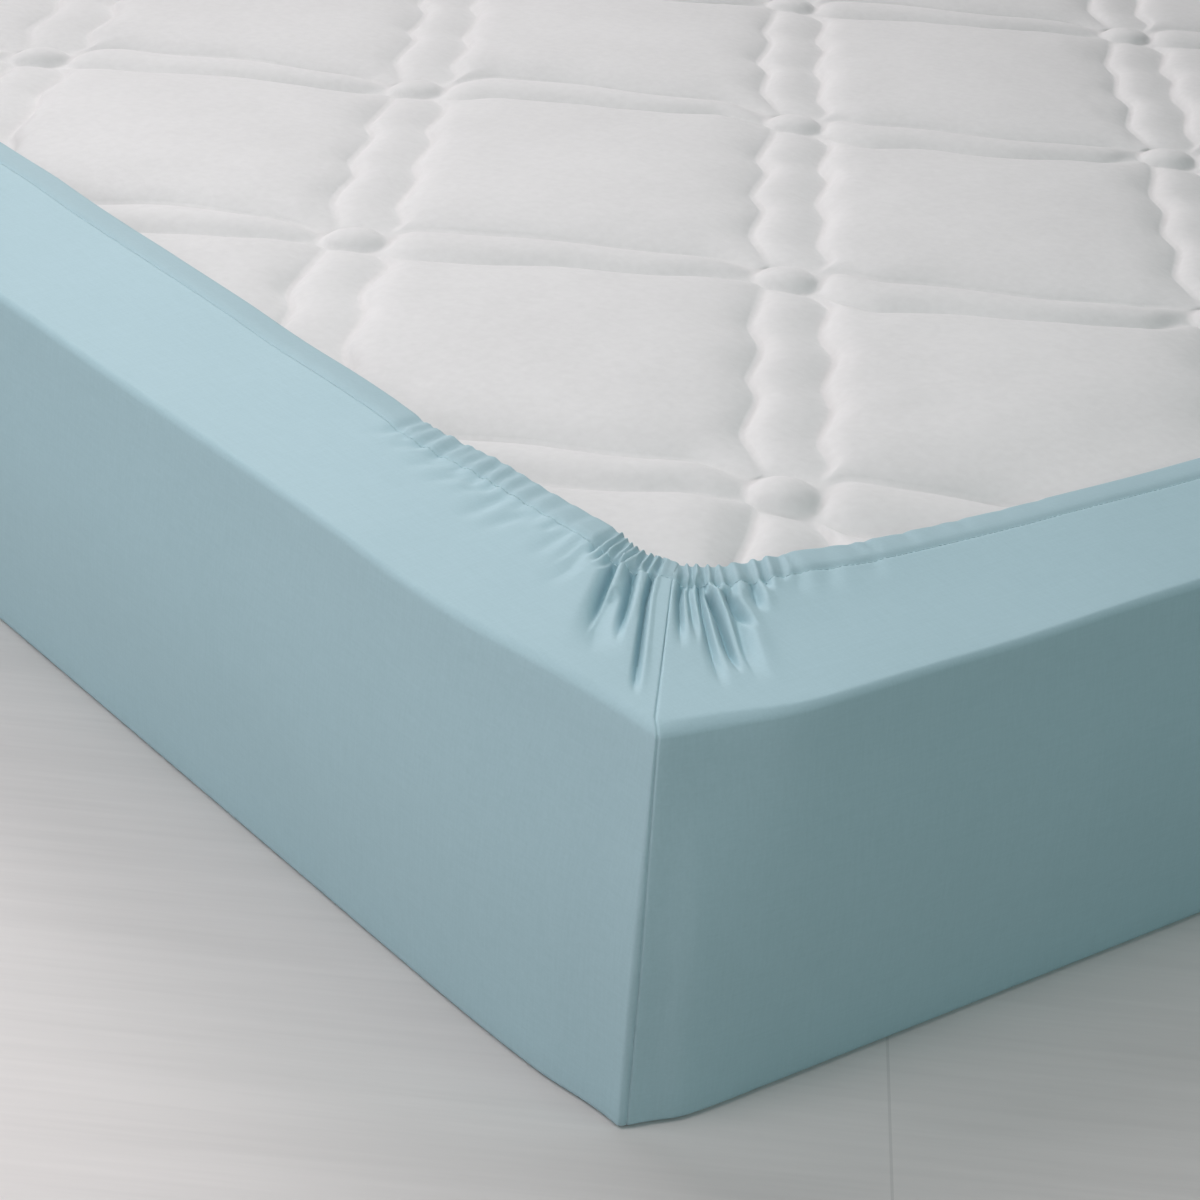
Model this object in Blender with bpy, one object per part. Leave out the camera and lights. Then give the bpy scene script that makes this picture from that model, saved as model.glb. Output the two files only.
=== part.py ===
"""A fitted sheet stretched over an upturned mattress.

Metres, +Z up, origin on the floor under the middle of the bed. X is the short side of
the bed and Y the long side. The sheet's main panel lies on the floor, its walls rise
round the mattress, and its flap turns over the upper edge and ends in a gathered hem.
"""

from collections import namedtuple
from math import cos, exp, hypot, pi, radians, sin

import bmesh
import bpy
from mathutils import Vector
from mathutils.geometry import delaunay_2d_cdt

# Outside of the covered bed
BED_W = 1.400
BED_L = 2.000
BED_H = 0.200

# The cloth, and the elastic casing along its hem
CLOTH = 0.0015
CASING = 0.0040
CASING_W = 0.020
HEM_RADIUS = 0.028

# Room between cloth and mattress: at the walls and edges, and under the mattress
EDGE_GAP = 0.0021
REST_GAP = 0.0003

# Quilting of the mattress face: two sets of padded bands with puffed panels between
QUILT_TURN = radians(49.4)
QUILT_START = Vector((-0.472, -0.819))
CELL_ACROSS = 0.2612
CELL_ALONG = 0.3168
COLUMN_HALF = 0.0205
ROW_HALF = 0.0260
SHOULDER = 0.022
PUFF_RUN = 0.030
ACROSS_STEPS = 2
ALONG_STEPS = 4
SCALLOP = 0.004
CHANNEL_DEPTH = 0.010
BAND_DROP = 0.002
PUFF = 0.007
PUFF_FROM = 0.155
PUFF_TO = 0.215
FACE_Z = 0.1965
RIM_ROOM = 0.012

# How far the pull of the gathers draws the upper edge in at a corner, and over what length
CORNER_PULL = 0.013
PULL_LENGTH = 0.070

# The wall's section from the floor to the start of the flap. inset is measured in from
# the bed's side, radius is the plan corner there, and pull is the share of CORNER_PULL.
Level = namedtuple("Level", "inset height radius pull")
WALL_LEVELS = (
    Level(inset=0.0120, height=0.0000, radius=0.010, pull=0.0),
    Level(inset=0.0035, height=0.0045, radius=0.012, pull=0.0),
    Level(inset=0.0000, height=0.0180, radius=0.014, pull=0.0),
    Level(inset=-0.0045, height=0.0950, radius=0.016, pull=0.0),
    Level(inset=0.0000, height=0.1800, radius=0.022, pull=0.3),
    Level(inset=0.0040, height=0.1945, radius=0.030, pull=0.8),
    Level(inset=0.0150, height=BED_H, radius=0.044, pull=1.0),
)

# Rings of the flap, from the upper edge to the hem. across is the place between the edge
# (0) and the hem (1), behind is how far outside the hem it lies, and rise the share of a
# pleat's rise there. The first takes each pleat's own reach instead.
FlapRing = namedtuple("FlapRing", "across behind height rise")
FLAP_RINGS = (
    FlapRing(across=0.45, behind=CASING_W, height=0.2010, rise=None),
    FlapRing(across=1.0, behind=CASING_W, height=0.1998, rise=1.0),
    FlapRing(across=1.0, behind=CASING_W / 2, height=0.2045, rise=0.75),
    FlapRing(across=1.0, behind=0.0, height=0.2015, rise=0.40),
)

# Distances of the mattress's first columns from its corner, and the step after them
MATTRESS_PLACES = (0.0, 0.012, 0.024, 0.050, 0.084, 0.130, 0.190, 0.270)
MATTRESS_STEP = 0.110

# Main pleats on each side of a corner seam, as troughs that fan out from the hem.
# at_hem and at_edge are distances from the seam; rise is the height of the cloth
# beside the trough, and reach the share of it that is left half way to the edge.
Pleat = namedtuple("Pleat", "at_hem at_edge rise reach")
PLEATS = (
    Pleat(at_hem=0.012, at_edge=0.024, rise=0.0052, reach=0.95),
    Pleat(at_hem=0.023, at_edge=0.050, rise=0.0062, reach=0.85),
    Pleat(at_hem=0.036, at_edge=0.084, rise=0.0058, reach=0.75),
    Pleat(at_hem=0.052, at_edge=0.118, rise=0.0042, reach=0.50),
    Pleat(at_hem=0.074, at_edge=0.152, rise=0.0034, reach=0.35),
    Pleat(at_hem=0.108, at_edge=0.190, rise=0.0028, reach=0.30),
    Pleat(at_hem=0.155, at_edge=0.236, rise=0.0024, reach=0.25),
    Pleat(at_hem=0.215, at_edge=0.290, rise=0.0020, reach=0.20),
    Pleat(at_hem=0.285, at_edge=0.350, rise=0.0012, reach=0.15),
)
EDGE_REACH = 0.25
PLAIN_STEP = 0.095

# Half width of the flat strip along a corner seam, at the hem and at the edge
SEAM_AT_HEM = 0.006
SEAM_AT_EDGE = 0.012

# The eight half sides, two from each corner to the middle of a side, anticlockwise.
# corner gives the signs of the corner's X and Y, and along the axis it runs along.
# hem_in is the flap's width near the corner and mid_in at the side's middle; pleats
# scales the rise, and sway is how far the wall leans out (+) or in half way along. The
# last two lines give the shares of a half side over which these come in.
HalfSide = namedtuple("HalfSide", "corner along hem_in mid_in pleats sway")
HALF_SIDES = (
    HalfSide(corner=(-1, -1), along="X", hem_in=0.123, mid_in=0.110, pleats=0.90, sway=0.000),
    HalfSide(corner=(1, -1), along="X", hem_in=0.111, mid_in=0.110, pleats=1.00, sway=0.002),
    HalfSide(corner=(1, -1), along="Y", hem_in=0.108, mid_in=0.124, pleats=0.85, sway=-0.002),
    HalfSide(corner=(1, 1), along="Y", hem_in=0.113, mid_in=0.124, pleats=1.05, sway=0.001),
    HalfSide(corner=(1, 1), along="X", hem_in=0.114, mid_in=0.116, pleats=0.95, sway=-0.001),
    HalfSide(corner=(-1, 1), along="X", hem_in=0.109, mid_in=0.116, pleats=0.90, sway=0.002),
    HalfSide(corner=(-1, 1), along="Y", hem_in=0.112, mid_in=0.127, pleats=1.00, sway=0.001),
    HalfSide(corner=(-1, -1), along="Y", hem_in=0.107, mid_in=0.127, pleats=1.00, sway=-0.002),
)
HEM_WIDENS = (0.30, 0.80)
SWAY_FROM = (0.0, 0.3)

# The triangulation's own settings: keep what lies inside the rim, and tell points apart
INSIDE_ONLY = 1
SAME_POINT = 1e-6

SHEET_COLOUR = (0.32, 0.50, 0.55, 1.0)
SHEET_ROUGHNESS = 0.85
MATTRESS_COLOUR = (0.80, 0.80, 0.80, 1.0)
MATTRESS_ROUGHNESS = 0.90


def smooth(low, high, value):
    """0 below low, 1 above high, and a soft ramp between."""
    t = min(max((value - low) / (high - low), 0.0), 1.0)
    return t * t * (3.0 - 2.0 * t)


def mix(a, b, share):
    """The value a share of the way from a to b."""
    return a + (b - a) * share


def half_length(half):
    return (BED_W if half.along == "X" else BED_L) / 2


def plan_point(half, share, inset, cross_inset, radius):
    """The point at a share of the way from a corner's diagonal to its side's middle.

    cross_inset is the inset of the other side that meets this one at the corner.
    """
    arc = radius * pi / 4
    run_centre, depth_centre = cross_inset + radius, inset + radius
    way = share * (arc + half_length(half) - run_centre)
    if way < arc:
        turn = pi / 4 - way / radius
        run, depth = run_centre - radius * sin(turn), depth_centre - radius * cos(turn)
    else:
        run, depth = run_centre + way - arc, inset
    sign_x, sign_y = half.corner
    x_in, y_in = (run, depth) if half.along == "X" else (depth, run)
    return sign_x * (BED_W / 2 - x_in), sign_y * (BED_L / 2 - y_in)


def wall_inset(half, share, level):
    """Inset of a wall level: the gathers pull the upper corners in, and walls sway."""
    way = share * half_length(half)
    pulled = CORNER_PULL * level.pull * exp(-((way / PULL_LENGTH) ** 2))
    swayed = half.sway * sin(pi * share) * smooth(*SWAY_FROM, share)
    return level.inset + pulled - swayed


def hem_inset(half, share):
    """Inset of the hem, which widens or narrows towards the side's middle."""
    return mix(half.hem_in, half.mid_in, smooth(*HEM_WIDENS, share))


def partner(half):
    """The other half side at the same corner."""
    return next(h for h in HALF_SIDES if h.corner == half.corner and h is not half)


def columns():
    """Every column of the sheet: its half side, its place at edge and hem, and its pleat."""
    Column = namedtuple("Column", "half edge hem rise reach")
    result = []
    for index, half in enumerate(HALF_SIDES):
        length = half_length(half)
        seam_rise = PLEATS[0].rise * half.pleats
        half_columns = [
            Column(half, 0.0, 0.0, PLEATS[0].rise, PLEATS[0].reach),
            Column(half, SEAM_AT_EDGE / length, SEAM_AT_HEM / length, seam_rise, PLEATS[0].reach),
        ]
        for pleat, following in zip(PLEATS, PLEATS[1:] + PLEATS[-1:]):
            half_columns.append(Column(half, pleat.at_edge / length, pleat.at_hem / length, 0.0, 1.0))
            if following is not pleat:
                edge = (pleat.at_edge + following.at_edge) / 2 / length
                hem = (pleat.at_hem + following.at_hem) / 2 / length
                rise = (pleat.rise + following.rise) / 2 * half.pleats
                half_columns.append(Column(half, edge, hem, rise, (pleat.reach + following.reach) / 2))
        last = half_columns[-1]
        steps = round((1.0 - last.edge) * length / PLAIN_STEP)
        for step in range(1, steps + 1):
            edge, hem = mix(last.edge, 1.0, step / steps), mix(last.hem, 1.0, step / steps)
            half_columns.append(Column(half, edge, hem, 0.0, 1.0))
        # An even half side runs from its corner to the middle, an odd one back to a corner.
        # The seam and the middle are shared, so each half leaves its last column out.
        ordered = half_columns if index % 2 == 0 else half_columns[::-1]
        result.extend(ordered[:-1])
    return result


def sheet_point_rings():
    """The sheet's outer face as rings of points, from the floor to the hem."""
    sheet_columns = columns()
    rings = []
    for level in WALL_LEVELS:
        ring = []
        for c in sheet_columns:
            inset, cross = wall_inset(c.half, c.edge, level), wall_inset(c.half, 0.0, level)
            x, y = plan_point(c.half, c.edge, inset, cross, level.radius)
            rise = c.rise * c.reach * EDGE_REACH if level is WALL_LEVELS[-1] else 0.0
            ring.append(Vector((x, y, level.height + rise)))
        rings.append(ring)
    edge = WALL_LEVELS[-1]
    for flap in FLAP_RINGS:
        ring = []
        for c in sheet_columns:
            place = mix(c.edge, c.hem, flap.across)
            radius = mix(edge.radius, HEM_RADIUS, flap.across)
            inner = hem_inset(c.half, place) - flap.behind
            inset = mix(wall_inset(c.half, c.edge, edge), inner, flap.across)
            cross_inner = partner(c.half).hem_in - flap.behind
            cross = mix(wall_inset(c.half, 0.0, edge), cross_inner, flap.across)
            x, y = plan_point(c.half, place, inset, cross, radius)
            rise = c.rise * (c.reach if flap.rise is None else flap.rise)
            ring.append(Vector((x, y, flap.height + rise)))
        rings.append(ring)
    return rings


def join_rings(bm, rings):
    """Quads between each ring of vertices and the next, facing out."""
    for lower, upper in zip(rings, rings[1:]):
        count = len(lower)
        for n in range(count):
            following = (n + 1) % count
            bm.faces.new((lower[n], lower[following], upper[following], upper[n]))


def add_object(name, bm, material):
    mesh = bpy.data.meshes.new(name)
    bm.to_mesh(mesh)
    bm.free()
    mesh.materials.append(material)
    obj = bpy.data.objects.new(name, mesh)
    bpy.context.collection.objects.link(obj)
    return obj


def plain_material(name, colour, roughness):
    material = bpy.data.materials.new(name)
    material.use_nodes = True
    shader = material.node_tree.nodes["Principled BSDF"]
    shader.inputs["Base Color"].default_value = colour
    shader.inputs["Roughness"].default_value = roughness
    return material


def build_sheet():
    """One cloth: floor panel, walls and flap, thickened inwards, and fatter at the casing."""
    bm = bmesh.new()
    rings = [[bm.verts.new(p) for p in ring] for ring in sheet_point_rings()]
    bm.faces.new(rings[0][::-1])
    join_rings(bm, rings)
    thick = {v for ring in rings[-2:] for v in ring}
    bm.verts.index_update()
    thick_indices = [v.index for v in thick]
    thin_indices = [v.index for v in bm.verts if v not in thick]
    sheet = add_object("fitted_sheet", bm, plain_material("sheet_cotton", SHEET_COLOUR, SHEET_ROUGHNESS))
    group = sheet.vertex_groups.new(name="casing")
    group.add(sorted(thick_indices), 1.0, "REPLACE")
    group.add(thin_indices, CLOTH / CASING, "REPLACE")
    solidify = sheet.modifiers.new("cloth", "SOLIDIFY")
    solidify.thickness = CASING
    solidify.offset = -1.0
    solidify.vertex_group = group.name
    return sheet


def side_distance(place):
    """Distance in from the nearest side of the bed."""
    return min(BED_W / 2 - abs(place.x), BED_L / 2 - abs(place.y))


def padding(distance, half):
    """0 on a band's stitched edge, 1 on the band's middle and over a panel."""
    if distance <= half:
        return 1.0 - (distance / half) ** 2
    return smooth(0.0, PUFF_RUN, distance - half)


def quilt_stations(cell, half, steps):
    """Places across one cell: band middle and edge, the panel's steps, and the next edge."""
    low, high = half + SHOULDER, cell - half - SHOULDER
    return [0.0, half] + [mix(low, high, n / steps) for n in range(steps + 1)] + [cell - half]


def quilt_height(across, along, place):
    """Height of a stitched point: puffed panels, padded bands and the channels between."""
    column, row = min(across, CELL_ACROSS - across), min(along, CELL_ALONG - along)
    full = padding(column, COLUMN_HALF) * padding(row, ROW_HALF)
    drop = BAND_DROP if column < COLUMN_HALF or row < ROW_HALF else 0.0
    lift = PUFF * smooth(PUFF_FROM, PUFF_TO, side_distance(place))
    return FACE_Z - CHANNEL_DEPTH * (1.0 - full) - drop + lift


def quilt_grid(rim_inset):
    """The quilting's points inside the rim, keyed by their column and row of stations."""
    across_stations = quilt_stations(CELL_ACROSS, COLUMN_HALF, ACROSS_STEPS)
    along_stations = quilt_stations(CELL_ALONG, ROW_HALF, ALONG_STEPS)
    across_count, along_count = len(across_stations), len(along_stations)
    bow_side = {1: 1, across_count - 1: -1}
    across_axis = Vector((sin(QUILT_TURN), -cos(QUILT_TURN)))
    along_axis = Vector((cos(QUILT_TURN), sin(QUILT_TURN)))
    reach = int(hypot(BED_W, BED_L) / CELL_ACROSS) + 1
    cells = [(i, j) for i in range(-reach, reach) for j in range(-reach, reach)]
    points = {}
    for i, j in cells:
        for m, across in enumerate(across_stations):
            for n, along in enumerate(along_stations):
                # A column's edges are scalloped: they bow out and in by turns.
                bow = bow_side.get(m, 0) * (SCALLOP if n % 2 else -SCALLOP)
                place = QUILT_START + across_axis * (i * CELL_ACROSS + across + bow)
                place = place + along_axis * (j * CELL_ALONG + along)
                if side_distance(place) > rim_inset:
                    height = quilt_height(across, along, place)
                    key = (i * across_count + m, j * along_count + n)
                    points[key] = Vector((place.x, place.y, height))
    return points


def mattress_shares(half):
    """Shares of the mattress's columns along a half side, from its corner to the middle."""
    length = half_length(half)
    last = MATTRESS_PLACES[-1]
    steps = round((length - last) / MATTRESS_STEP)
    plain = [mix(last, length, n / steps) for n in range(1, steps + 1)]
    return [place / length for place in (*MATTRESS_PLACES, *plain)]


def mattress_rings():
    """Points of the mattress's bottom, walls and upper edge, a margin inside the sheet's."""
    margin = CLOTH + EDGE_GAP
    lowest, highest = CLOTH + REST_GAP, FACE_Z - BAND_DROP
    rings = []
    for n, level in enumerate(WALL_LEVELS):
        before, after = WALL_LEVELS[max(n - 1, 0)], WALL_LEVELS[min(n + 1, len(WALL_LEVELS) - 1)]
        slope = Vector((before.inset - after.inset, after.height - before.height)).normalized()
        height = min(max(level.height + margin * slope.x, lowest), highest)
        ring = []
        for index, half in enumerate(HALF_SIDES):
            shares = mattress_shares(half)
            ordered = shares if index % 2 == 0 else shares[::-1]
            for share in ordered[:-1]:
                inset = wall_inset(half, share, level) + margin * slope.y
                cross = wall_inset(half, 0.0, level) + margin * slope.y
                x, y = plan_point(half, share, inset, cross, level.radius)
                ring.append(Vector((x, y, height)))
        rings.append(ring)
    return rings


def build_mattress():
    """One filled solid with rounded edges and a quilted upper face."""
    bm = bmesh.new()
    point_rings = mattress_rings()
    rings = [[bm.verts.new(p) for p in ring] for ring in point_rings]
    bm.faces.new(rings[0][::-1])
    join_rings(bm, rings)
    rim = point_rings[-1]
    grid = quilt_grid(WALL_LEVELS[-1].inset + CORNER_PULL + RIM_ROOM)
    keys = sorted(grid)
    numbers = {key: len(rim) + n for n, key in enumerate(keys)}
    points = [p.xy for p in rim] + [grid[key].xy for key in keys]
    edges = [(n, (n + 1) % len(rim)) for n in range(len(rim))]
    for i, j in keys:
        edges += [(numbers[i, j], numbers[k]) for k in ((i + 1, j), (i, j + 1)) if k in numbers]
    verts = rings[-1] + [bm.verts.new(grid[key]) for key in keys]
    _, _, triangles, origins, _, _ = delaunay_2d_cdt(points, edges, [], INSIDE_ONLY, SAME_POINT)
    for triangle in triangles:
        bm.faces.new([verts[origins[n][0]] for n in triangle])
    material = plain_material("mattress_knit", MATTRESS_COLOUR, MATTRESS_ROUGHNESS)
    return add_object("mattress", bm, material)


def main():
    """Clears the scene and builds both pieces."""
    for obj in list(bpy.data.objects):
        bpy.data.objects.remove(obj)
    build_mattress()
    build_sheet()


main()
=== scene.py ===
"""The looks of a fitted sheet on an upturned mattress: fine cloth, quilting, finish and light.

Metres, +Z up, in the frame of the solids. Places near a corner of the bed are given in
that corner's own coordinates: x runs in along the short side from the corner, y in along
the long side, and both are positive on the bed. "Way" is the distance along an edge from
the corner seam, negative on the long side and positive on the short side.
"""

from collections import namedtuple
from math import cos, pi, radians, sin

import bmesh
import bpy
import numpy as np
from mathutils import Matrix, Vector


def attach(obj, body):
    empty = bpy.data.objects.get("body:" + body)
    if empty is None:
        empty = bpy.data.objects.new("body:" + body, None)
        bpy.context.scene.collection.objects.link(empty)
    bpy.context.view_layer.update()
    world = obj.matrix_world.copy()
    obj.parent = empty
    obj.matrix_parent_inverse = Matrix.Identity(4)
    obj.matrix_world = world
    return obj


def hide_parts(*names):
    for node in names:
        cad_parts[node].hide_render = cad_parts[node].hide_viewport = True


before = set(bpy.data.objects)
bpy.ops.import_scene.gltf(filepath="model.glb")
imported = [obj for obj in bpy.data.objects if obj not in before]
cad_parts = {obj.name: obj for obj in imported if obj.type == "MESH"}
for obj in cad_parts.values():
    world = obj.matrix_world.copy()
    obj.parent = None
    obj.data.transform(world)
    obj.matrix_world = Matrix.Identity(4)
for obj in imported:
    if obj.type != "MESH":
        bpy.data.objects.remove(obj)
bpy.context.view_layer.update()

# ---------------- sizes

BED_W = 1.400
BED_L = 2.000
BED_HALVES = np.array((BED_W / 2, BED_L / 2))

# The cloth's section: the roll at the floor, the wall's bulge and the fold at its top,
# which lies a little further in towards the middle of a side
FLOOR_ROLL = 0.0045
PANEL_INSET = 0.030
WALL_BULGE = 0.0045
BULGE_SPARED = 0.6
FOLD_TOP = 0.1990
FOLD_ROLL = 0.0038
FOLD_ROLL_CORNER = 0.0048
FOLD_CORNER_RUN = 0.075
CORNER_DROP = 0.0008
CORNER_DROP_RUN = 0.045
TOP_INSETS = (0.0005, 0.0032)
TOP_INSETS_OVER = (0.15, 0.40)

# The flap rises evenly from the fold to the stitch line, and the casing falls from there
FLAP_SLOPE = radians(4.0)
STITCH_Z = 0.2046

# The hem's elastic casing: its tunnel stands a little proud and its edge is turned under
CASING_W = 0.020
CASING_LIFT = 0.0010
CASING_RISE = 0.25
CASING_FALL = 0.0016
CASING_FALL_POWER = 1.5
HEM_HALF = 0.0012
HEM_TUCK = 0.005
HEM_ROUND = 0.042

# The stitch line dips, and so do its neighbours by a share: by place after the stitch ring
STITCH_DIP = 0.0004
STITCH_DIPS = ((0, 1.0), (-1, 0.35), (1, 0.2))

# How much cloth the elastic gathers in at a corner, over what run, and how it lifts the flap
GATHER = 0.090
GATHER_RUN = 0.085
GATHER_POWER = 1.3
GATHER_LIFT = 0.0026
GATHER_LIFT_RUN = 0.075
GATHER_LIFT_OVER = (0.25, 0.95)

# The corner seam: a narrow groove
SEAM_DEPTH = 0.0010
SEAM_HALF = 0.0005
SEAM_POWER = 1.5
SEAM_INWARD = 0.7

# One corner of the bed. signs are its X and Y sides; round_x and round_y are the half axes
# of its plan rounding, and turns are where on it the seam stands at foot, top and hem.
# hem_x and hem_y are the hem's insets beside it. pull is how far the gathers draw the
# upper edge in, over run_x and run_y, and foot the same at the floor. crease scales the
# depth of its creases, and swap exchanges the two sides of the crease table.
Corner = namedtuple("Corner", "signs round_x round_y turns hem_x hem_y pull run_x run_y foot crease swap")
NEAR_TURNS = (radians(19.8), radians(7.8), radians(42.5))
FAR_TURNS = (radians(45), radians(45), radians(45))
NEAR_CORNER = Corner(
    (-1, -1), 0.060, 0.0074, NEAR_TURNS, 0.105, 0.117, 0.0120, 0.055, 0.115, 0.0015, 1.0, False
)
CORNERS = (
    NEAR_CORNER,
    Corner((1, -1), 0.018, 0.022, FAR_TURNS, 0.105, 0.109, 0.014, 0.080, 0.085, 0.003, 0.85, True),
    Corner((1, 1), 0.020, 0.018, FAR_TURNS, 0.110, 0.111, 0.015, 0.090, 0.080, 0.003, 0.95, False),
    Corner((-1, 1), 0.018, 0.020, FAR_TURNS, 0.109, 0.106, 0.014, 0.085, 0.075, 0.003, 0.90, True),
)
PULL_POWER = 3.2

# The plan goes over from the foot's to the upper edge's: most of it up the wall, the rest
# over the fold, where its rounding grows by shares of FOLD_GROWTH along x and y
FOLD_GROWTH = 0.0088
FOLD_GROWS = (1.0, 0.45)
LEAN_MOST = 0.90
LEAN_OVER = (0.40, 1.10)
FOOT_RUN = 0.35
FOOT_OUT = 0.0025

# The near corner's long side lies further in beside the seam, so its wall is flat up to there
NEAR_SHIFT = 0.0044
NEAR_SHIFT_RUN = 0.075

# At the far corners, the hem's inset at the middle of each side, by the side's sign, and
# the shares of the side over which the hem moves to it
HEM_MIDDLE_X = {-1: 0.125, 1: 0.120}
HEM_MIDDLE_Y = {-1: 0.1045, 1: 0.112}
HEM_WIDENS = (0.30, 0.80)

# How much further in the near corner's hem lies along its two sides, by way from the seam
NEAR_HEM_LONG = (
    (0.00, 0.0010), (0.03, 0.0045), (0.05, 0.0085), (0.10, 0.0090), (0.17, 0.0095), (0.20, 0.0062),
    (0.23, 0.0042), (0.27, 0.0068), (0.35, 0.0087), (0.44, 0.0110), (0.53, 0.0118), (0.65, 0.0148),
    (0.72, 0.0178), (1.00, 0.0200),
)
NEAR_HEM_SHORT = (
    (0.00, 0.0), (0.04, 0.0005), (0.08, -0.0015), (0.11, -0.0062), (0.14, -0.0080), (0.19, -0.0100),
    (0.24, -0.0120), (0.30, -0.0125), (0.70, -0.0125),
)

# Spacing of the sheet's columns from a seam: up to this distance, this step
NEAR_GRADES = (
    (0.002, 0.0005), (0.066, 0.0009), (0.130, 0.0014), (0.360, 0.0030), (0.90, 0.016), (9.0, 0.034)
)
FAR_GRADES = ((0.002, 0.0010), (0.100, 0.0034), (0.260, 0.0080), (9.0, 0.040))
ARC_STEPS = 40

# Rings of the sheet's section in each stretch
FOOT_RINGS = 5
WALL_RINGS = 15
FOLD_RINGS = 8
FLAP_RINGS = 54
CASING_PLACES = (0.04, 0.10, 0.18, 0.30, 0.45, 0.60, 0.75, 0.86, 0.94)
FLAP_CLOSES_UP = 1.25
HEM_TURNS = (30, 60, 90, 120, 150, 180)

# The casing is painted darker, partly for its layers of cloth and partly as painted shade, from none to
# full over these rings past the stitch ring
LAYERS_AND_SHADE_OVER = (-0.5, 2.5)

# Soft unevenness of the cloth, as waves of about this length and height
Waves = namedtuple("Waves", "length seed height")
RIPPLES = 9
RIPPLE_LENGTHS = (0.7, 1.6)
RIPPLE_TOP = 1.4
WALL_WAVES = (Waves(0.30, 3, 0.0011), Waves(0.11, 4, 0.00035))
WALL_WAVES_END = (0.006, 0.070)
FLAP_WAVES = (Waves(0.16, 5, 0.0006), Waves(0.06, 6, 0.00022))
FLAP_WAVES_START = (0.175, 0.200)
FLOOR_CLEAR = 0.030

# ---------------- creases

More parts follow.
